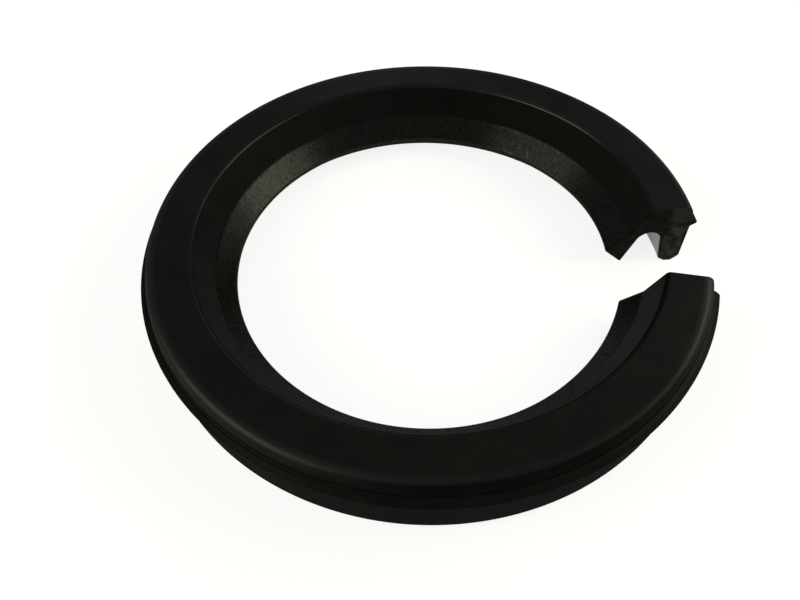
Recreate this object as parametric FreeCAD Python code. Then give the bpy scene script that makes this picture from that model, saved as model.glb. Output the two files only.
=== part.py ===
import FreeCAD, Part
import math
import os

# Split lip seal for the rear end of an engine's crankshaft, moulded in one piece of black rubber.
# It is cut through once, to go round a shaft that stays in the engine, and lies a little sprung open.
# Lengths are in millimetres. The ring's axis is Z, z = 0 is the plane that its leg stands on, and
# the gap between the two cut ends is centred on +X.

# The ring, as it lies
lip_bore_radius = 53.5
gap_angle = 20.4

# Lip: it bears on the shaft with the narrow sealing band at its innermost edge
sealing_edge_above_foot = 5.8
sealing_band_height = 0.8
lip_front_width = 5.3
lip_tip_above_foot = 0.8
lip_back_lean_angle = 17.0

# Inner side above the lip: a cone, then a steeper wall up to the heel's face
cone_width = 5.0
cone_height = 5.7
heel_bore_lean = 4.2

# Heel: the thick, flat-faced body, with a rounded edge and an outer wall that widens downwards
overall_height = 21.4
heel_width_at_wall_foot = 12.9
heel_wall_height = 4.4
heel_wall_draft_angle = 16.0
heel_edge_rounding = 1.8

# Rib round the outside at the foot of the heel's wall: it is squeezed against the housing
rib_width = 1.4
rib_top_slope = 1.1
rib_edge_height = 0.6
rib_overhang = 1.6
rib_under_slope = 1.1

# Leg: the outer wall that goes into the housing's bore, a little thinner towards its foot
leg_thickness_at_foot = 6.1
leg_inner_lean_angle = 9.0
foot_outer_chamfer = 2.0
foot_inner_chamfer_width = 2.0
foot_inner_chamfer_height = 1.3

# Groove between lip and leg: open downwards, with a round crown as wide as the space leaves room for
groove_depth = 12.4

# Radii from the ring's axis, each worked out from the one inside it
lip_tip_radius = lip_bore_radius + lip_front_width
cone_top_radius = lip_bore_radius + cone_width
heel_bore_radius = cone_top_radius + heel_bore_lean
heel_wall_radius = heel_bore_radius + heel_width_at_wall_foot
rib_radius = heel_wall_radius + rib_width
leg_outer_radius = rib_radius - rib_overhang
leg_inner_radius = leg_outer_radius - leg_thickness_at_foot

# Heights above the foot's plane
sealing_band_top = sealing_edge_above_foot + sealing_band_height
cone_top_height = sealing_band_top + cone_height
heel_wall_foot = overall_height - heel_wall_height
rib_top_edge = heel_wall_foot - rib_top_slope
rib_low_edge = rib_top_edge - rib_edge_height
rib_under_foot = rib_low_edge - rib_under_slope


def place(radius, height):
    """A point of the section, which is drawn in the XZ plane."""
    return FreeCAD.Vector(radius, 0, height)


def straight_edges(places):
    """Straight edges from each of these points to the next."""
    return [Part.LineSegment(start, end).toShape() for start, end in zip(places, places[1:])]


def groove_crown():
    """Start, top and end of the arc that runs tangent from the lip's back to the leg's inner wall."""
    lip_lean = math.radians(lip_back_lean_angle)
    leg_lean = math.radians(leg_inner_lean_angle)
    lip_run = (groove_depth - lip_tip_above_foot) * math.tan(lip_lean)
    leg_run = (groove_depth - foot_inner_chamfer_height) * math.tan(leg_lean)
    room_at_top = leg_inner_radius - lip_tip_radius - lip_run - leg_run
    lip_share = (1 - math.sin(lip_lean)) / math.cos(lip_lean)
    leg_share = (1 - math.sin(leg_lean)) / math.cos(leg_lean)
    crown_radius = room_at_top / (lip_share + leg_share)
    centre_radius = lip_tip_radius + lip_run + crown_radius * lip_share
    centre_height = groove_depth - crown_radius
    start = place(
        centre_radius - crown_radius * math.cos(lip_lean),
        centre_height + crown_radius * math.sin(lip_lean),
    )
    top = place(centre_radius, groove_depth)
    end = place(
        centre_radius + crown_radius * math.cos(leg_lean),
        centre_height + crown_radius * math.sin(leg_lean),
    )
    return start, top, end


def heel_edge():
    """Start, middle and end of the arc that runs tangent from the heel's outer wall to its face."""
    draft = math.radians(heel_wall_draft_angle)
    centre_height = overall_height - heel_edge_rounding
    wall_run = (centre_height - heel_wall_foot) * math.tan(draft)
    centre_radius = heel_wall_radius - wall_run - heel_edge_rounding / math.cos(draft)
    half_way = (draft + math.pi / 2) / 2
    start = place(
        centre_radius + heel_edge_rounding * math.cos(draft),
        centre_height + heel_edge_rounding * math.sin(draft),
    )
    middle = place(
        centre_radius + heel_edge_rounding * math.cos(half_way),
        centre_height + heel_edge_rounding * math.sin(half_way),
    )
    end = place(centre_radius, overall_height)
    return start, middle, end


def seal_section():
    """The seal's section: down the inner side, round the lip, up the groove, round the leg and the heel."""
    crown_start, crown_top, crown_end = groove_crown()
    round_start, round_middle, round_end = heel_edge()
    inner_corner = place(heel_bore_radius, overall_height)
    bore_and_lip = straight_edges([
        inner_corner,
        place(cone_top_radius, cone_top_height),
        place(lip_bore_radius, sealing_band_top),
        place(lip_bore_radius, sealing_edge_above_foot),
        place(lip_tip_radius, lip_tip_above_foot),
        crown_start,
    ])
    leg_and_rib = straight_edges([
        crown_end,
        place(leg_inner_radius, foot_inner_chamfer_height),
        place(leg_inner_radius + foot_inner_chamfer_width, 0),
        place(leg_outer_radius - foot_outer_chamfer, 0),
        place(leg_outer_radius, foot_outer_chamfer),
        place(leg_outer_radius, rib_under_foot),
        place(rib_radius, rib_low_edge),
        place(rib_radius, rib_top_edge),
        place(heel_wall_radius, heel_wall_foot),
        round_start,
    ])
    crown = Part.Arc(crown_start, crown_top, crown_end).toShape()
    heel_round = Part.Arc(round_start, round_middle, round_end).toShape()
    heel_face = straight_edges([round_end, inner_corner])
    return Part.Face(Part.Wire([*bore_and_lip, crown, *leg_and_rib, heel_round, *heel_face]))


def seal_ring():
    """The section turned about the ring's axis, from one cut end round to the other."""
    axis = FreeCAD.Vector(0, 0, 1)
    centre = FreeCAD.Vector(0, 0, 0)
    section = seal_section()
    section.rotate(centre, axis, gap_angle / 2)
    return section.revolve(centre, axis, 360 - gap_angle)


os.makedirs("parts", exist_ok=True)
seal_ring().exportStep("parts/seal_ring.step")
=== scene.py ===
import math

import bmesh
import bpy
from mathutils import Matrix


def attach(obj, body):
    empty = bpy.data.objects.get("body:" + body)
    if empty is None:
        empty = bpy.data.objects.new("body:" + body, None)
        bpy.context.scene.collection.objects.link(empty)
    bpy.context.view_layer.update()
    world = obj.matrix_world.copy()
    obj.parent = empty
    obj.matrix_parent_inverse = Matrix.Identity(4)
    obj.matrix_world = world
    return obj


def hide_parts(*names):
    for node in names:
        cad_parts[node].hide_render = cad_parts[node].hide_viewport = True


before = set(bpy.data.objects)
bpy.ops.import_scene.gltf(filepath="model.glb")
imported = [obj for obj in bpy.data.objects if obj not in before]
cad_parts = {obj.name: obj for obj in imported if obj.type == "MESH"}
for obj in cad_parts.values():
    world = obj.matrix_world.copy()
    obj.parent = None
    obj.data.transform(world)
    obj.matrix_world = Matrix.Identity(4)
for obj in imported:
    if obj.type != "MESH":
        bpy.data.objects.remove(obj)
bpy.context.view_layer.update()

# The seal: one ring of black nitrile-like rubber, pressed whole in a heated mould and trimmed inside.
# Its section is flat-heeled, with a thin rib outside, a leg that stands in the housing, and a lip that
# leans in to the shaft. It is cut through once with a blade and lies a little sprung open on its leg.
MILLIMETRE = 0.001
GAP_ANGLE = math.radians(20.4)
STEPS_ROUND_RING = 300
MERGE_DISTANCE = 0.001 * MILLIMETRE
LIP_RADIUS = 53.5
HEEL_BORE_RADIUS = 62.7
OVERALL_HEIGHT = 21.4
# Each corner of the section: radius and height (mm), how far its rounding reaches (mm), and its steps
SECTION_CORNERS = (
    (HEEL_BORE_RADIUS, OVERALL_HEIGHT, 0.85, 6),  # inner corner of the heel
    (58.5, 12.3, 0.55, 4),  # top of the cone
    (LIP_RADIUS, 6.6, 0.42, 4),  # sealing band, upper edge
    (LIP_RADIUS, 5.8, 0.3, 3),  # sealing band, lower edge
    (58.8, 0.8, 0.5, 4),  # tip of the lip
    (62.346, 12.4, 2.4, 10),  # crown of the groove, lip's side
    (67.542, 12.4, 2.7, 10),  # crown of the groove, leg's side
    (69.3, 1.3, 0.5, 3),  # inner chamfer of the leg
    (71.3, 0.0, 0.35, 3),  # inner edge of the foot
    (73.4, 0.0, 0.35, 3),  # outer edge of the foot
    (75.4, 2.0, 0.6, 4),  # outer chamfer of the leg
    (75.4, 14.2, 0.35, 3),  # under the rib
    (77.0, 15.3, 0.15, 2),  # lower edge of the rib
    (77.0, 15.9, 0.15, 2),  # upper edge of the rib
    (75.9, 16.76, 0.1, 2),  # ledge on top of the rib
    (75.1, 16.95, 0.25, 3),  # recess at the foot of the heel's wall
    (75.1, 18.5, 0.3, 3),  # upper edge of that recess
    (74.338, OVERALL_HEIGHT, 1.6, 10),  # outer edge of the heel
)

seal = bmesh.new()
corners = [seal.verts.new((radius * MILLIMETRE, 0, height * MILLIMETRE))
           for radius, height, _, _ in SECTION_CORNERS]
seal.faces.new(corners)
for corner, (_, _, reach, steps) in zip(corners, SECTION_CORNERS):
    bmesh.ops.bevel(seal, geom=[corner], offset=reach * MILLIMETRE, offset_type="OFFSET",
                    segments=steps, profile=0.5, affect="VERTICES", material=-1)
bmesh.ops.rotate(seal, verts=seal.verts, cent=(0, 0, 0),
                 matrix=Matrix.Rotation(GAP_ANGLE / 2, 3, "Z"))
bmesh.ops.spin(seal, geom=seal.verts[:] + seal.edges[:] + seal.faces[:], cent=(0, 0, 0),
               axis=(0, 0, 1), dvec=(0, 0, 0), angle=2 * math.pi - GAP_ANGLE,
               steps=STEPS_ROUND_RING, use_merge=False, use_duplicate=False)
bmesh.ops.remove_doubles(seal, verts=seal.verts, dist=MERGE_DISTANCE)
bmesh.ops.recalc_face_normals(seal, faces=seal.faces)

# The finishes of the surface. The two cut ends are the only faces with many corners, three finishes lie
# between these radii and between these heights (mm), and the rest is moulded skin.
MOULDED, TRIMMED, CUT, GROOVE, RUBBED = range(5)
FINISHED_ZONES = (
    (TRIMMED, (53.0, 58.7), (5.7, 12.5)),
    (GROOVE, (58.9, 71.0), (-1.0, 12.5)),
    (RUBBED, (62.0, 63.35), (20.7, 22.0)),
)
for face in seal.faces:
    face.smooth = True
    face.material_index = MOULDED
    middle = face.calc_center_median() / MILLIMETRE
    radius = math.hypot(middle.x, middle.y)
    for finish, (innermost, outermost), (lowest, highest) in FINISHED_ZONES:
        if innermost < radius < outermost and lowest < middle.z < highest:
            face.material_index = finish
    if len(face.verts) > 4:
        face.material_index = CUT

# The blade leaves a fine broken edge round each cut end
CUT_EDGE_BREAK = 0.14 * MILLIMETRE
cut_rims = [edge for edge in seal.edges
            if any(face.material_index == CUT for face in edge.link_faces)]
bmesh.ops.bevel(seal, geom=cut_rims, offset=CUT_EDGE_BREAK, offset_type="OFFSET",
                segments=1, profile=0.5, affect="EDGES", material=CUT)

# Cut by hand and sprung apart, the ends don't lie quite true: the upper one leans in and is twisted, and
# the lower one stands out and is cut askew. Each is moved this much at its cut (mm, or mm for each mm up
# or across), which fades out over this much of the ring.
SPRUNG_REACH = math.radians(38)
UPPER_END_IN = 0.35
UPPER_END_LEAN = 0.04
UPPER_END_OVER_GAP = 0.4
UPPER_LIP_IN = 0.75
UPPER_HEEL_BORE_OUT = 1.1
UPPER_INNER_SIDE = (67.0, 59.0)
UPPER_TWISTED_HEIGHTS = (8.0, OVERALL_HEIGHT)
LOWER_END_OUT = 0.9
LOWER_HEEL_LEAN = 0.04
LOWER_CUT_SKEW = 0.1
LOWER_CUT_SKEW_AT_LEG = 0.2
LOWER_HEEL_HEIGHTS = (14.0, 20.0)


def share_between(value, start, end):
    """How far a number is on its way from start to end: 0 up to start, 1 from end on."""
    return min(1.0, max(0.0, (value - start) / (end - start)))


for vert in seal.verts:
    radius = math.hypot(vert.co.x, vert.co.y) / MILLIMETRE
    height = vert.co.z / MILLIMETRE
    turn = math.atan2(vert.co.y, vert.co.x) % (2 * math.pi)
    from_upper_end = turn - GAP_ANGLE / 2
    from_lower_end = 2 * math.pi - GAP_ANGLE / 2 - turn
    nearness = 1 - share_between(min(from_upper_end, from_lower_end), 0.0, SPRUNG_REACH)
    if from_upper_end < from_lower_end:
        twist = share_between(height, *UPPER_TWISTED_HEIGHTS) * (UPPER_LIP_IN + UPPER_HEEL_BORE_OUT)
        inner_side_out = share_between(radius, *UPPER_INNER_SIDE) * (twist - UPPER_LIP_IN)
        outward = inner_side_out - UPPER_END_IN - UPPER_END_LEAN * height
        round_ring = -UPPER_END_OVER_GAP
    else:
        heel_share = share_between(height, *LOWER_HEEL_HEIGHTS)
        outward = LOWER_END_OUT - LOWER_HEEL_LEAN * (radius - LIP_RADIUS) * heel_share
        skew = LOWER_CUT_SKEW * min(1.0, heel_share + LOWER_CUT_SKEW_AT_LEG)
        round_ring = skew * (radius - HEEL_BORE_RADIUS)
    new_radius = radius + outward * nearness ** 2
    new_turn = turn + round_ring * nearness ** 8 / radius
    vert.co.x = new_radius * math.cos(new_turn) * MILLIMETRE
    vert.co.y = new_radius * math.sin(new_turn) * MILLIMETRE


def finished_piece(name, shape):
    """An object in the scene, with its mesh, made of a shape that is ready."""
    mesh = bpy.data.meshes.new(name)
    shape.to_mesh(mesh)
    shape.free()
    piece = bpy.data.objects.new(name, mesh)
    bpy.context.scene.collection.objects.link(piece)
    return piece


SHARP_EDGE_ANGLE = math.radians(50)
seal_piece = finished_piece("seal_rubber", seal)
seal_piece.data.set_sharp_from_angle(angle=SHARP_EDGE_ANGLE)
even_normals = seal_piece.modifiers.new("even_normals", "WEIGHTED_NORMAL")
even_normals.keep_sharp = True

# Where a point lies on the ring. Round is its angle from the side across from the gap, and Turned the share
# of a turn, clockwise from the gap: the lower end is near 0, the front at 0.25, and the upper end near 1.
# Radius is its distance from the axis, and Height that above the foot (mm).


def set_inputs(tree, node, inputs):
    """Links each of these inputs, known by name or number, to an output, or sets it to a value."""
    for label, value in inputs.items():
        if isinstance(value, bpy.types.NodeSocket):
            tree.links.new(value, node.inputs[label])
        else:
            node.inputs[label].default_value = value


def new_node(tree, kind, inputs=None, **settings):
    """A new node of this kind, with its settings made and its inputs linked or set."""
    node = tree.nodes.new(kind)
    for setting, value in settings.items():
        setattr(node, setting, value)
    set_inputs(tree, node, inputs or {})
    return node


def new_group(name, inputs, outputs):
    """A node group for numbers, what comes in to it, and the node that puts its results out."""
    group = bpy.data.node_groups.new(name, "ShaderNodeTree")
    for label, value in inputs.items():
        socket = group.interface.new_socket(label, in_out="INPUT", socket_type="NodeSocketFloat")
        socket.default_value = value
    for label in outputs:
        group.interface.new_socket(label, in_out="OUTPUT", socket_type="NodeSocketFloat")
    return group, group.nodes.new("NodeGroupInput").outputs, group.nodes.new("NodeGroupOutput")


def math_node(tree, operation, *values, clamp=False):
    """The result of this operation on outputs or numbers."""
    inputs = dict(enumerate(values))
    return new_node(tree, "ShaderNodeMath", inputs, operation=operation, use_clamp=clamp).outputs[0]


def distance_over(tree, across, along):
    """How far it is over two distances at right angles."""
    squares = [math_node(tree, "POWER", side, 2.0) for side in (across, along)]
    return math_node(tree, "SQRT", math_node(tree, "ADD", *squares))


def surface_point(tree):
    """The point of the surface in the piece's own frame (m)."""
    return new_node(tree, "ShaderNodeTexCoord").outputs["Object"]


ring_place, _, place_out = new_group("ring_place", {}, ("Round", "Turned", "Radius", "Height"))
x, y, z = new_node(ring_place, "ShaderNodeSeparateXYZ", {0: surface_point(ring_place)}).outputs
angle = math_node(ring_place, "ARCTAN2", y, math_node(ring_place, "MULTIPLY", x, -1.0))
set_inputs(ring_place, place_out, {
    "Round": angle,
    "Turned": math_node(ring_place, "MULTIPLY_ADD", angle, 1 / (2 * math.pi), 0.5),
    "Radius": math_node(ring_place, "DIVIDE", distance_over(ring_place, x, y), MILLIMETRE),
    "Height": math_node(ring_place, "DIVIDE", z, MILLIMETRE),
})

# Wear along one corner of the section, at this radius and height and within this reach of it (mm). It is
# strongest on the corner itself, where handling and the shaft touch first, and noise breaks it up.


def use_group(tree, group, inputs=None):
    """What a node group puts out, placed in this tree with its own values."""
    return new_node(tree, "ShaderNodeGroup", inputs, node_tree=group).outputs


def noise(tree, point, scale, detail, roughness=0.5, distortion=0.0):
    """A noise from 0 to 1 over this point."""
    return new_node(tree, "ShaderNodeTexNoise", {
        "Vector": point, "Scale": scale, "Detail": detail, "Roughness": roughness, "Distortion": distortion,
    }).outputs["Fac"]


WEAR_PATCH_SCALE = 260.0
WEAR_PATCH_CONTRAST = 1.6
LEAST_WEAR = 0.5
corner_wear, wear_in, wear_out = new_group(
    "corner_wear", {"Radius": 60.0, "Height": 20.0, "Reach": 0.4}, ("Wear", "Nearness"))
here = use_group(corner_wear, ring_place)
from_corner = distance_over(corner_wear,
                            math_node(corner_wear, "SUBTRACT", here["Radius"], wear_in["Radius"]),
                            math_node(corner_wear, "SUBTRACT", here["Height"], wear_in["Height"]))
share_away = math_node(corner_wear, "DIVIDE", from_corner, wear_in["Reach"])
nearness = math_node(corner_wear, "SUBTRACT", 1.0, share_away, clamp=True)
patchy = noise(corner_wear, surface_point(corner_wear), WEAR_PATCH_SCALE, 3.0)
uneven = math_node(corner_wear, "MULTIPLY_ADD", patchy, WEAR_PATCH_CONTRAST, LEAST_WEAR)
set_inputs(corner_wear, wear_out, {
    "Wear": math_node(corner_wear, "MULTIPLY", nearness, uneven, clamp=True),
    "Nearness": nearness,
})

# The grain of the mould's surface and of the rubber's filler: fine pits, soft patches and pale specks
SPECK_SCALE = 420.0
SPECK_SIZE = 0.05
rubber_grain, grain_in, grain_out = new_group(
    "rubber_grain", {"Grain scale": 2600.0, "Patch scale": 110.0}, ("Grain", "Patches", "Specks"))
point = surface_point(rubber_grain)
dust = new_node(rubber_grain, "ShaderNodeTexVoronoi", {"Vector": point, "Scale": SPECK_SCALE})
set_inputs(rubber_grain, grain_out, {
    "Grain": noise(rubber_grain, point, grain_in["Grain scale"], 3.0),
    "Patches": noise(rubber_grain, point, grain_in["Patch scale"], 5.0),
    "Specks": math_node(rubber_grain, "LESS_THAN", dust.outputs["Distance"], SPECK_SIZE),
})

# Moulded skin: dull black, with the mould's fine grain, soft patches and specks of dust. Handling has
# polished the heel's round edge, and its wall at the left. The rib, the front wall and much of the inner
# wall are duller, and painted shade darkens the rib everywhere but near the lower end.
SKIN_COLOURS = ((0.3, (0.0029, 0.0031, 0.0028)), (0.7, (0.0041, 0.0044, 0.0038)))
SKIN_ROUGHNESS = ((0.25, 0.56), (0.75, 0.7))
SKIN_FILM = ((0.3, 0.05), (0.7, 0.058))
POLISHED_COLOUR = (0.0012, 0.0013, 0.0011)
RIB_PAINTED_SHADE_COLOUR = (0.0016, 0.0016, 0.0014)
DUST_COLOUR = (0.012, 0.012, 0.011)
POLISHED_SHARE = 0.8
RIB_PAINTED_SHADE_SHARE = 0.6
DUST_SHARE = 0.5
SKIN_PIT_DEPTH = 0.02
FILM_PIT_DEPTH = 0.01
FILM_PIT_SCALE = 2400.0
POLISHED_FILM = 0.175
SMOOTH_WALL_FILM = 0.095
DULL_WALL_FILM = 0.02
RIB_FILM = 0.022
# The heel's edge: its radius, its height and how far its polish reaches. The other parts: over which radii
# and which heights each begins (mm).
HEEL_EDGE = (73.9, 21.2, 2.2)
HEEL_EDGE_STRENGTH = 2.0
HEEL_WALL = ((73.6, 74.2), (17.4, 18.2))
INNER_WALL = ((63.2, 62.8), (12.0, 12.4))
RIB = ((75.2, 75.5), (14.2, 14.8), (17.2, 16.9))
RIB_UPPER_HALF = (15.6, 16.0)
# How each changes round the ring, through these (share of a turn, strength) stops
EDGE_POLISH = ((0.045, 1.0), (0.07, 0.6), (0.1, 0.1), (0.2, 0.35), (0.28, 1.0), (0.37, 1.0), (0.42, 0.65))
WALL_POLISH = ((0.26, 0.0), (0.34, 0.8), (0.44, 0.8), (0.52, 0.0))
DULL_FRONT_WALL = ((0.1, 0.0), (0.15, 1.0), (0.24, 1.0), (0.3, 0.0))
DULL_INNER_WALL = ((0.52, 0.0), (0.58, 0.4), (0.68, 0.3), (0.76, 1.0), (0.87, 1.0), (0.93, 0.2))
SMOOTH_INNER_WALL = ((0.08, 1.0), (0.14, 0.0))
# The rib's stops set both how dull its film is and how much painted shade darkens it
DULL_AND_SHADED_RIB = ((0.1, 0.0), (0.2, 0.4), (0.3, 0.6), (0.36, 1.0))
DULL_AND_SHADED_RIB_UNDERSIDE = ((0.27, 0.0), (0.36, 1.0))


def new_material(name):
    """A material with its node tree and its shader."""
    material = bpy.data.materials.new(name)
    material.use_nodes = True
    return material, material.node_tree, material.node_tree.nodes["Principled BSDF"]


def rubber(name, shine=0.0, film=0.0, film_roughness=0.03):
    """A rubber of its own shine under a thin film of gloss: material, tree, shader and grain."""
    material, tree, shader = new_material(name)
    set_inputs(tree, shader, {
        "Specular IOR Level": shine, "Coat Weight": film, "Coat Roughness": film_roughness})
    return material, tree, shader, use_group(tree, rubber_grain)


def product(tree, first, *others):
    """All of these multiplied together."""
    for other in others:
        first = math_node(tree, "MULTIPLY", first, other)
    return first


def near_corner(tree, radius, height, reach):
    """The wear along the corner of the section at this radius and height, within this reach (mm)."""
    return use_group(tree, corner_wear, {"Radius": radius, "Height": height, "Reach": reach})


def opaque(colour):
    """A colour with its alpha, a number as a grey with its alpha, or an output as it is."""
    if isinstance(colour, bpy.types.NodeSocket):
        return colour
    return (*colour, 1) if isinstance(colour, tuple) else (colour, colour, colour, 1)


def ramp(tree, value, stops):
    """A ramp through these (place, colour) stops, where a number stands for a grey."""
    node = new_node(tree, "ShaderNodeValToRGB", {"Fac": value})
    elements = node.color_ramp.elements
    while len(elements) < len(stops):
        elements.new(0.5)
    for element, (position, colour) in zip(elements, stops):
        element.position = position
        element.color = opaque(colour)
    return node.outputs["Color"]


def blend(tree, mode, amount, first, second):
    """Two colours blended in this mode, by this amount of the second."""
    amount_input, first_colour, second_colour, blended = 0, 6, 7, 2
    inputs = {amount_input: amount, first_colour: opaque(first), second_colour: opaque(second)}
    return new_node(tree, "ShaderNodeMix", inputs, data_type="RGBA", blend_type=mode).outputs[blended]


def lay_over(tree, ground, *layers):
    """A colour, or a thickness of film, with these (mask, colour) layers put over it in turn."""
    for mask, colour in layers:
        ground = blend(tree, "MIX", mask, ground, colour)
    return ground


def pitted(tree, grain, amount, colour):
    """A colour that this much of the grain's pits darkens."""
    pits = ramp(tree, grain["Grain"], ((0.3, 0.4), (0.7, 1.0)))
    return blend(tree, "MULTIPLY", amount, colour, pits)


def fade(tree, value, start, end):
    """0 on one side of start, 1 beyond end, and evenly between the two; end may be below start."""
    inputs = {"Value": value, "From Min": start, "From Max": end}
    return new_node(tree, "ShaderNodeMapRange", inputs).outputs["Result"]


def zone(tree, here, radii, *heights):
    """A part of the section: it fades in over these radii, and over each of these pairs of heights (mm)."""
    fades = [fade(tree, here["Height"], *pair) for pair in heights]
    return product(tree, fade(tree, here["Radius"], *radii), *fades)


def bump(tree, shader, height, distance, surface="Normal"):
    """Raises the rubber's surface, or the film's, by this height times this distance (mm)."""
    inputs = {"Distance": distance * MILLIMETRE, "Height": height}
    raised = new_node(tree, "ShaderNodeBump", inputs).outputs["Normal"]
    set_inputs(tree, shader, {surface: raised})


moulded, tree, shader, grain = rubber("moulded_rubber", film_roughness=0.43)
here = use_group(tree, ring_place)
near_edge = near_corner(tree, *HEEL_EDGE)["Nearness"]
edge = math_node(tree, "MULTIPLY", near_edge, HEEL_EDGE_STRENGTH, clamp=True)
wall = zone(tree, here, *HEEL_WALL)
inner_wall = zone(tree, here, *INNER_WALL)
rib_upper_half = fade(tree, here["Height"], *RIB_UPPER_HALF)
rib_underside = ramp(tree, here["Turned"], DULL_AND_SHADED_RIB_UNDERSIDE)
# The rib: a duller film, and painted shade that darkens its colour
rib = product(tree, zone(tree, here, *RIB), ramp(tree, here["Turned"], DULL_AND_SHADED_RIB),
              math_node(tree, "MAXIMUM", rib_upper_half, rib_underside))
polish = math_node(tree, "MAXIMUM",
                   product(tree, edge, ramp(tree, here["Turned"], EDGE_POLISH)),
                   product(tree, wall, ramp(tree, here["Turned"], WALL_POLISH)))
set_inputs(tree, shader, {
    "Base Color": lay_over(
        tree, pitted(tree, grain, 0.6, ramp(tree, grain["Patches"], SKIN_COLOURS)),
        (product(tree, polish, POLISHED_SHARE), POLISHED_COLOUR),
        (product(tree, rib, RIB_PAINTED_SHADE_SHARE), RIB_PAINTED_SHADE_COLOUR),
        (product(tree, grain["Specks"], DUST_SHARE), DUST_COLOUR)),
    "Roughness": ramp(tree, grain["Patches"], SKIN_ROUGHNESS),
    "Coat Weight": lay_over(
        tree, ramp(tree, grain["Patches"], SKIN_FILM),
        (polish, POLISHED_FILM),
        (product(tree, wall, ramp(tree, here["Turned"], DULL_FRONT_WALL)), DULL_WALL_FILM),
        (product(tree, inner_wall, ramp(tree, here["Turned"], DULL_INNER_WALL)), DULL_WALL_FILM),
        (product(tree, inner_wall, ramp(tree, here["Turned"], SMOOTH_INNER_WALL)), SMOOTH_WALL_FILM),
        (rib, RIB_FILM)),
})
bump(tree, shader, grain["Grain"], SKIN_PIT_DEPTH)
film_pits = noise(tree, surface_point(tree), FILM_PIT_SCALE, 3.0)
bump(tree, shader, film_pits, FILM_PIT_DEPTH, surface="Coat Normal")

# Inner corner of the heel: rubbed smooth by handling, a little pale where it is worn, and glossiest at the
# back, towards the upper end. Its film changes round the ring, through (share of a turn, film) stops.
INNER_CORNER = (HEEL_BORE_RADIUS, OVERALL_HEIGHT, 0.7)
WORN_SHARE = 0.4
WORN_CORNER_COLOUR = (0.005, 0.0053, 0.0046)
RUBBED_ROUGHNESS = ((0.25, 0.5), (0.75, 0.62))
RUBBED_PATCHES = ((0.3, 0.85), (0.7, 1.0))
RUBBED_PIT_DEPTH = 0.01
CORNER_FILM = ((0.08, 0.015), (0.18, 0.05), (0.36, 0.07), (0.56, 0.12),
               (0.72, 0.13), (0.8, 0.24), (0.87, 0.22), (0.93, 0.1))

rubbed, tree, shader, grain = rubber("rubbed_rubber", film_roughness=0.24)
here = use_group(tree, ring_place)
worn = product(tree, near_corner(tree, *INNER_CORNER)["Wear"], WORN_SHARE)
patches = ramp(tree, grain["Patches"], RUBBED_PATCHES)
set_inputs(tree, shader, {
    "Base Color": lay_over(tree, POLISHED_COLOUR, (worn, WORN_CORNER_COLOUR)),
    "Roughness": ramp(tree, grain["Patches"], RUBBED_ROUGHNESS),
    "Coat Weight": blend(tree, "MULTIPLY", 1.0, ramp(tree, here["Turned"], CORNER_FILM), patches),
})
bump(tree, shader, grain["Grain"], RUBBED_PIT_DEPTH)

# Trimmed cone: the blade and the grinding leave fine streaks that run in to the lip and sparkle a little.
# The lip's edge is worn pale, and partly painted light where the lamps leave it dark. The ground face is
# smoother in some places round the ring.
STREAKS_PER_RADIAN = 56.0
STREAKS_PER_MILLIMETRE_UP = 0.17
STREAK_SCALE = 2.6
SPARKLE_SCALE = 1300.0
SCORE_DEPTH = 0.08
SPARKLE_DEPTH = 0.014
GROUND_COLOURS = ((0.35, (0.0012, 0.0013, 0.001)), (0.65, (0.005, 0.0053, 0.0041)))
GROUND_PATCHES = ((0.3, 0.5), (0.7, 1.0))
LIP_EDGE = (53.6, 6.4, 0.7)
WORN_LIP_AND_PAINTED_LIGHT_COLOUR = (0.013, 0.0135, 0.011)
SCRATCH_COLOUR = (0.034, 0.034, 0.027)
SCRATCH_STRENGTH = 1.5
GROUND_ROUGHNESS = ((0.3, 0.3), (0.7, 0.5))
GROUND_FILM = ((0.36, 0.05), (0.64, 0.18))
GROUND_SMOOTH = ((0.08, 0.8), (0.14, 0.5), (0.4, 0.5), (0.46, 0.8), (0.53, 1.0), (0.57, 1.0),
                 (0.6, 0.86), (0.7, 0.72), (0.79, 0.58), (0.86, 0.56), (0.9, 0.74))
# Scratches and nicks near the lip: for both ends the angle from the middle of the gap (degrees), the radius
# and the height, and then the width (mm)
SCRATCHES = (
    ((58.6, 57.7), (55.6, 54.4), (9.0, 7.6), 0.36),
    ((48.6, 48.4), (56.7, 56.5), (10.3, 10.0), 0.5),
    ((49.2, 48.9), (58.4, 58.2), (12.2, 11.9), 0.45),
    ((64.4, 63.2), (53.9, 53.9), (7.1, 7.1), 0.3),
    ((61.8, 61.6), (55.8, 55.7), (9.2, 9.0), 0.35),
    ((66.3, 65.7), (54.0, 53.9), (7.2, 7.1), 0.3),
)


def vector_node(tree, operation, inputs):
    """The outputs of this operation on vectors."""
    return new_node(tree, "ShaderNodeVectorMath", inputs, operation=operation).outputs


def scratch(tree, point, start, end, width):
    """How near a point is to the line from start to end: 1 on it, 0 beyond the scratch's width (mm)."""
    run = [(b - a) * MILLIMETRE for a, b in zip(start, end)]
    squared_length = sum(step * step for step in run)
    start_point = [part * MILLIMETRE for part in start]
    from_start = vector_node(tree, "SUBTRACT", {0: point, 1: start_point})["Vector"]
    along_run = vector_node(tree, "DOT_PRODUCT", {0: from_start, 1: [step / squared_length for step in run]})
    share = math_node(tree, "ADD", along_run["Value"], 0.0, clamp=True)
    nearest = vector_node(tree, "SCALE", {0: run, "Scale": share})["Vector"]
    apart = vector_node(tree, "DISTANCE", {0: from_start, 1: nearest})["Value"]
    share_away = math_node(tree, "DIVIDE", apart, width * MILLIMETRE)
    return math_node(tree, "SUBTRACT", 1.0, share_away, clamp=True)


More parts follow.
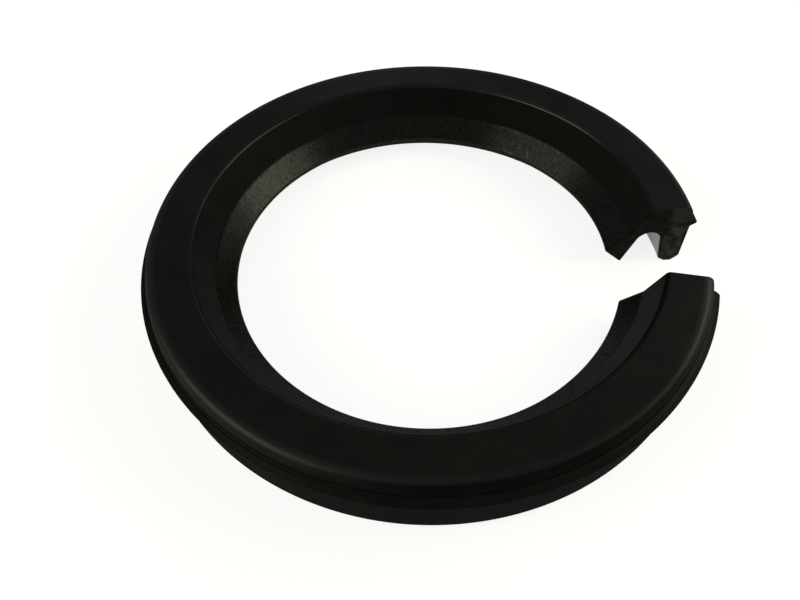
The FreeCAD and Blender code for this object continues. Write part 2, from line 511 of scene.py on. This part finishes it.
trimmed, tree, shader, grain = rubber("trimmed_rubber", film_roughness=0.24)
here = use_group(tree, ring_place)
point = surface_point(tree)
streak_point = new_node(tree, "ShaderNodeCombineXYZ", {
    "X": product(tree, here["Round"], STREAKS_PER_RADIAN),
    "Y": product(tree, here["Height"], STREAKS_PER_MILLIMETRE_UP),
}).outputs[0]
streaks = noise(tree, streak_point, STREAK_SCALE, 5.0, roughness=0.7, distortion=0.3)
sparkle = noise(tree, point, SPARKLE_SCALE, 3.0, roughness=0.7)
scored = math_node(tree, "ADD", product(tree, streaks, 0.5), product(tree, sparkle, 0.5))
scratches = 0.0
for turns, radii, heights, width in SCRATCHES:
    ends = [(radius * math.cos(math.radians(turn)), radius * math.sin(math.radians(turn)), height)
            for turn, radius, height in zip(turns, radii, heights)]
    scratches = math_node(tree, "MAXIMUM", scratch(tree, point, *ends, width), scratches)
patches = ramp(tree, grain["Patches"], GROUND_PATCHES)
ground = blend(tree, "MULTIPLY", 0.5, ramp(tree, scored, GROUND_COLOURS), patches)
# The lip's edge: pale from wear, and partly painted light; then the scratches
marked = lay_over(
    tree, ground,
    (near_corner(tree, *LIP_EDGE)["Wear"], WORN_LIP_AND_PAINTED_LIGHT_COLOUR),
    (math_node(tree, "MULTIPLY", scratches, SCRATCH_STRENGTH, clamp=True), SCRATCH_COLOUR))
ground_smooth = ramp(tree, here["Turned"], GROUND_SMOOTH)
set_inputs(tree, shader, {
    "Base Color": pitted(tree, grain, 0.5, marked),
    "Roughness": ramp(tree, streaks, GROUND_ROUGHNESS),
    "Coat Weight": blend(tree, "MULTIPLY", 1.0, ramp(tree, scored, GROUND_FILM), ground_smooth),
})
bump(tree, shader, scored, SCORE_DEPTH)
bump(tree, shader, sparkle, SPARKLE_DEPTH, surface="Coat Normal")

# Cut ends: the blade tears a mottled face through the rubber. It is grey-green and palest in the leg, grey
# where the blade smeared it over the leg's root, and darkest along the inner side and in the rib. A line of
# painted shade crosses it at the rib's height.
DARK_FACE = ((0.36, (0.003, 0.003, 0.0028)), (0.64, (0.0105, 0.0105, 0.0095)))
PALE_FACE = ((0.38, (0.0065, 0.0073, 0.0052)), (0.62, (0.03, 0.0325, 0.025)))
TEAR_SCALE = 420.0
TEAR_DEPTH = 0.15
SMEARED_COLOUR = (0.0165, 0.018, 0.018)
SHADED_COLOUR = (0.0012, 0.0012, 0.0011)
# Where each part of the face begins, over these radii and heights (mm), and how dark or smeared it is. The
# skin's seam follows the cone and the inner wall, which meet at the cone's top and run this far out and up.
LEG_RADII = (67.6, 69.8)
SMEARED_ZONE = ((68.1, 69.0), (16.0, 16.8))
RIB_RADII = (73.8, 74.6)
# Painted shade along the rib's height: the radii it fades in over, its height and its half width (mm)
SHADE_LINE_RADII = (66.5, 68.5)
SHADE_LINE_HEIGHT = 15.6
SHADE_LINE_HALF_WIDTH = 0.7
CONE_TOP = (58.5, 12.3)
CONE_RUN = (5.0, 5.7)
INNER_WALL_RUN = (4.2, 9.1)
SEAM_DEPTHS = (0.05, -0.4)
SMEARED_SHARE = 0.8
SEAM_SHADE = 0.7
RIB_SHADE = 0.8
SHADE_LINE_STRENGTH = 0.5


def depth_behind(tree, here, corner, run):
    """How deep in the rubber a point is, behind the side of the section that runs up and out (mm)."""
    length = math.hypot(*run)
    outwards = math_node(tree, "SUBTRACT", here["Radius"], corner[0])
    upwards = math_node(tree, "SUBTRACT", here["Height"], corner[1])
    outwards_share, upwards_share = run[1] / length, run[0] / length
    return math_node(tree, "SUBTRACT", product(tree, outwards, outwards_share),
                     product(tree, upwards, upwards_share))


cut, tree, shader, grain = rubber("cut_rubber", film=0.05, film_roughness=0.45)
here = use_group(tree, ring_place)
torn = noise(tree, surface_point(tree), TEAR_SCALE, 6.0, roughness=0.6)
leg = fade(tree, here["Radius"], *LEG_RADII)
smeared = zone(tree, here, *SMEARED_ZONE)
under_skin = math_node(tree, "MAXIMUM", depth_behind(tree, here, CONE_TOP, CONE_RUN),
                       depth_behind(tree, here, CONE_TOP, INNER_WALL_RUN))
inner_seam = fade(tree, under_skin, *SEAM_DEPTHS)
rib = fade(tree, here["Radius"], *RIB_RADII)
# A line of painted shade across the face at the rib's height
off_shade_line = math_node(tree, "ABSOLUTE", math_node(tree, "SUBTRACT", here["Height"], SHADE_LINE_HEIGHT))
on_shade_line = math_node(tree, "SUBTRACT", 1.0, math_node(tree, "DIVIDE", off_shade_line, SHADE_LINE_HALF_WIDTH),
                     clamp=True)
shade_line = product(tree, on_shade_line, fade(tree, here["Radius"], *SHADE_LINE_RADII))
rib_or_shade_line = math_node(tree, "MAXIMUM", product(tree, rib, RIB_SHADE), product(tree, shade_line, SHADE_LINE_STRENGTH))
shade = math_node(tree, "MAXIMUM", product(tree, inner_seam, SEAM_SHADE), rib_or_shade_line)
torn_face = lay_over(
    tree, ramp(tree, torn, DARK_FACE),
    (leg, ramp(tree, torn, PALE_FACE)),
    (product(tree, smeared, SMEARED_SHARE), SMEARED_COLOUR),
    (shade, SHADED_COLOUR))
set_inputs(tree, shader, {"Base Color": pitted(tree, grain, 0.5, torn_face)})
bump(tree, shader, torn, TEAR_DEPTH)

# Groove: pressed by a polished core of the mould, so its walls are smoother than the outside, with a
# gloss of their own
GROOVE_COLOURS = ((0.3, (0.0016, 0.0017, 0.0015)), (0.7, (0.0036, 0.0036, 0.0031)))
GROOVE_ROUGHNESS = ((0.25, 0.12), (0.75, 0.22))
GROOVE_PIT_DEPTH = 0.006

groove, tree, shader, grain = rubber("groove_rubber", shine=0.5)
set_inputs(tree, shader, {
    "Base Color": pitted(tree, grain, 0.4, ramp(tree, grain["Patches"], GROOVE_COLOURS)),
    "Roughness": ramp(tree, grain["Patches"], GROOVE_ROUGHNESS),
})
bump(tree, shader, grain["Grain"], GROOVE_PIT_DEPTH)

for material in (moulded, trimmed, cut, groove, rubbed):
    seal_piece.data.materials.append(material)
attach(seal_piece, "root")
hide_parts("seal_ring")

# The floor: plain white paper under the ring. It keeps the ring's soft shadow, and most of it is as white
# as the room where the camera, gloss or glass looks at it.
FLOOR_SIZE = 3.0
PAPER_COLOUR = (0.86, 0.86, 0.85)
PAPER_ROUGHNESS = 0.9
PAPER_SHINE = 0.1
WHITE = (1.0, 1.0, 1.0)
WHITE_SHARE_OF_PAPER = 0.85


def show_white(tree, lit, white_kind, share, end):
    """White, by this share, where the camera, gloss or glass looks, and elsewhere the lit surface."""
    path = new_node(tree, "ShaderNodeLightPath").outputs
    mirrored = math_node(tree, "MAXIMUM", path["Is Glossy Ray"], path["Is Transmission Ray"])
    seen = math_node(tree, "MAXIMUM", path["Is Camera Ray"], mirrored)
    white = new_node(tree, white_kind, {"Color": opaque(WHITE)}).outputs[0]
    shown = new_node(tree, "ShaderNodeMixShader", {0: product(tree, seen, share), 1: lit, 2: white})
    set_inputs(tree, tree.nodes[end], {"Surface": shown.outputs[0]})


floor_shape = bmesh.new()
bmesh.ops.create_grid(floor_shape, x_segments=1, y_segments=1, size=FLOOR_SIZE / 2)
floor = finished_piece("floor", floor_shape)
paper, tree, shader = new_material("paper")
set_inputs(tree, shader, {
    "Base Color": opaque(PAPER_COLOUR), "Roughness": PAPER_ROUGHNESS, "Specular IOR Level": PAPER_SHINE})
show_white(tree, shader.outputs[0], "ShaderNodeEmission", WHITE_SHARE_OF_PAPER, "Material Output")
floor.data.materials.append(paper)

# The room: white all round where the camera, gloss or glass looks at it. Elsewhere it is a plain grey that
# fills the shadows.
FILL_COLOUR = (0.8, 0.82, 0.85)
FILL_STRENGTH = 0.35

room = bpy.data.worlds.new("room")
room.use_nodes = True
tree = room.node_tree
fill = tree.nodes["Background"]
set_inputs(tree, fill, {"Color": opaque(FILL_COLOUR), "Strength": FILL_STRENGTH})
show_white(tree, fill.outputs[0], "ShaderNodeBackground", 1.0, "World Output")
bpy.context.scene.world = room

# Four soft boxes round the ring, each turned to its middle: where it stands (m), its width and height (m),
# its power (W) and its colour
SOFT_BOXES = (
    ("right_soft_box", (0.586, 0.093, 0.371), 0.42, 0.33, 4.8, (0.97, 1.0, 0.72)),
    ("left_soft_box", (-0.508, -0.294, 0.381), 0.54, 0.34, 5.1, (0.97, 1.0, 0.72)),
    ("back_soft_box", (-0.086, 0.565, 0.404), 0.08, 0.15, 0.55, (0.8, 1.0, 0.97)),
    ("far_soft_box", (0.423, 0.414, 0.374), 0.4, 0.4, 1.5, (0.96, 1.0, 0.88)),
)
for name, location, width, height, power, colour in SOFT_BOXES:
    lamp = bpy.data.lights.new(name, "AREA")
    lamp.shape = "RECTANGLE"
    lamp.size = width
    lamp.size_y = height
    lamp.energy = power
    lamp.color = colour
    soft_box = bpy.data.objects.new(name, lamp)
    soft_box.location = location
    soft_box.rotation_euler = (-soft_box.location).to_track_quat("-Z", "Y").to_euler()
    bpy.context.scene.collection.objects.link(soft_box)

# The camera: close in front of the ring and above it, with a wide view. Where it stands (mm), and where
# its right side, its top and its lens point.
CAMERA_PLACE = (8.052, -130.538, 154.729)
CAMERA_RIGHT = (0.99451, 0.1039, -0.01216)
CAMERA_UP = (-0.07433, 0.78365, 0.61673)
CAMERA_FORWARD = (-0.07361, 0.61245, -0.78708)
FOCAL_LENGTH = 30.965
SENSOR_WIDTH = 36.0
NEAREST_SEEN = 0.01

camera_data = bpy.data.cameras.new("camera")
camera_data.sensor_width = SENSOR_WIDTH
camera_data.lens = FOCAL_LENGTH
camera_data.clip_start = NEAREST_SEEN
camera = bpy.data.objects.new("camera", camera_data)
camera.matrix_world = Matrix([
    (CAMERA_RIGHT[i], CAMERA_UP[i], -CAMERA_FORWARD[i], CAMERA_PLACE[i] * MILLIMETRE) for i in range(3)
] + [(0, 0, 0, 1)])
bpy.context.scene.collection.objects.link(camera)
bpy.context.scene.camera = camera

bpy.context.scene.view_settings.view_transform = "Standard"
